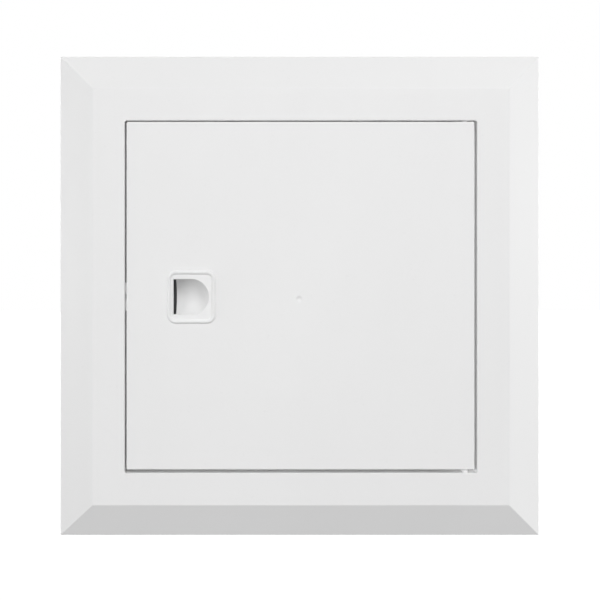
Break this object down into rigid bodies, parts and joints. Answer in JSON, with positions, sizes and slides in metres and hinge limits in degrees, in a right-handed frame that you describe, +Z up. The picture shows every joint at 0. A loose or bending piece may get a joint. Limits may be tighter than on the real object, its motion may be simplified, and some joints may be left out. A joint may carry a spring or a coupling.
{
  "type": "access panel",
  "caption": "Square wall access panel with a bevelled frame, a flush hinged door and a sprung finger latch.",
  "frame": {"origin": "middle of the wall opening, in the plane of the wall's face", "axes": "+Z up, +Y into the wall, +X to the right seen from the front; the front faces -Y"},
  "size_m": [0.25, 0.0408, 0.25],
  "materials": {
    "frame": "satin white moulded plastic",
    "door": "satin white moulded plastic",
    "hinge_pin": "smooth white moulded plastic",
    "latch_slide": "smooth white moulded plastic",
    "latch_spring": "drawn spring wire",
    "latch_cover": "matt dark grey moulded plastic",
    "latch_screws": "zinc-plated steel"
  },
  "bodies": {
    "frame_body": {"frame": "frame"},
    "door_body": {"door": "door", "hinge_pin_top": "hinge_pin", "hinge_pin_bottom": "hinge_pin", "latch_cover": "latch_cover", "latch_screws": "latch_screws", "latch_spring": "latch_spring"},
    "slide_body": {"latch_slide": "latch_slide"}
  },
  "joints": [
    {"name": "door_hinge", "type": "hinge", "parent": "frame_body", "child": "door_body", "pos_m": [0.08445, -0.0072, 0], "axis": [0, 0, 1], "range_deg": [0, 120]},
    {"name": "latch_travel", "type": "slide", "parent": "door_body", "child": "slide_body", "axis": [1, 0, 0], "range_m": [0, 0.004], "stiffness_N_per_m": 400, "springref_m": -0.006, "deforming": ["latch_spring"]}
  ]
}
